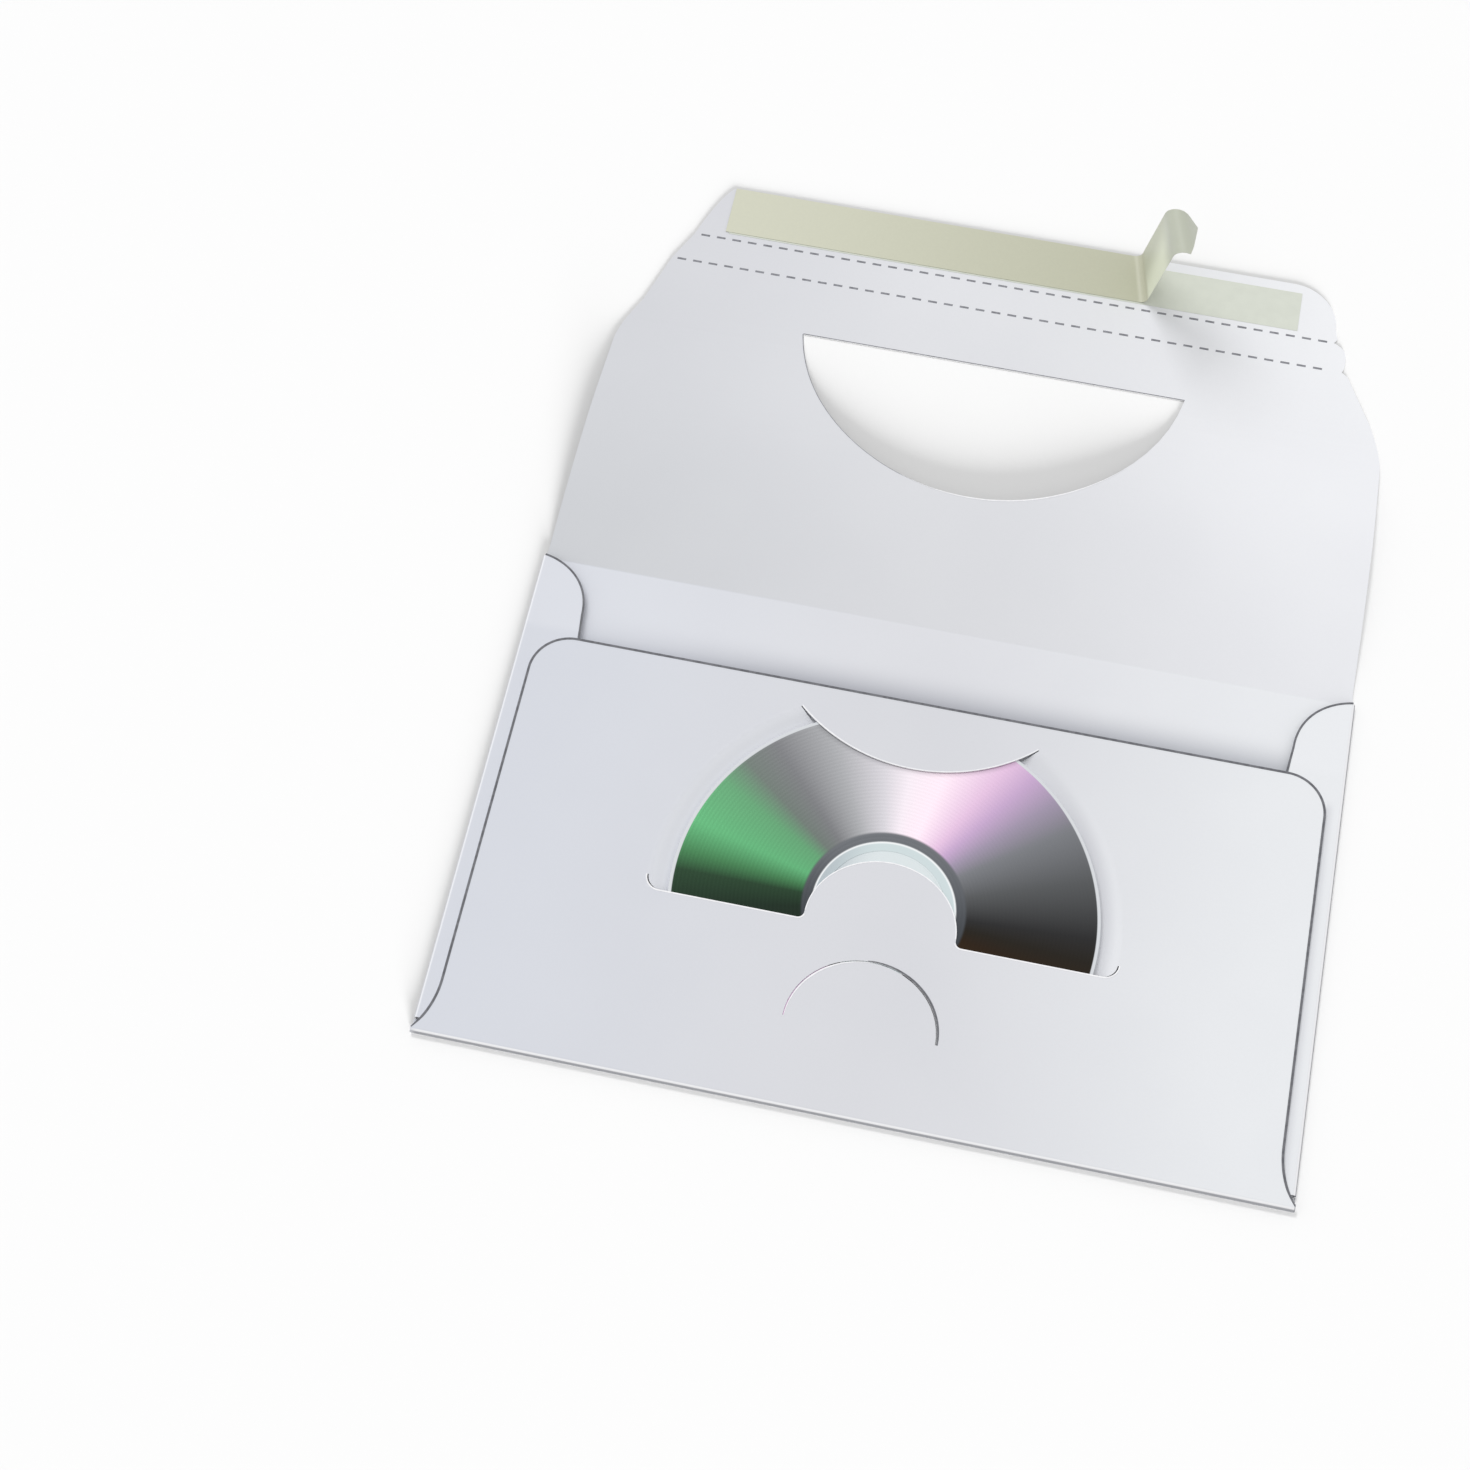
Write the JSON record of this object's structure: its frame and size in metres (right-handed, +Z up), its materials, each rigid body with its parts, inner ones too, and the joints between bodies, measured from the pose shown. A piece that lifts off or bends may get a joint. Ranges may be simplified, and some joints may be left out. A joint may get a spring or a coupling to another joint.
{
  "type": "cd sleeve",
  "caption": "White card mailing sleeve for a disc: slit pocket panel, side flaps, and an open closure flap with half-moon window, tear strip and peel-off seal.",
  "frame": {"origin": "middle of the sleeve's underside, at the centre of its box, on the surface it lies on", "axes": "+Z up from the surface, +Y from the bottom fold towards the closure flap's free edge, +X to the right of someone who looks at the pocket"},
  "size_m": [0.24, 0.2946, 0.0396],
  "materials": {
    "card": "matte white board",
    "disc": "mirrored rainbow reading side under clear plastic",
    "adhesive": "thin tacky film",
    "liner": "satin siliconised paper",
    "glue": "set glue"
  },
  "bodies": {
    "root": {"card_sleeve": "card", "disc": "disc", "seal_adhesive": "adhesive", "release_liner": "liner", "glue_seam_left": "glue", "glue_seam_right": "glue"}
  },
  "joints": []
}
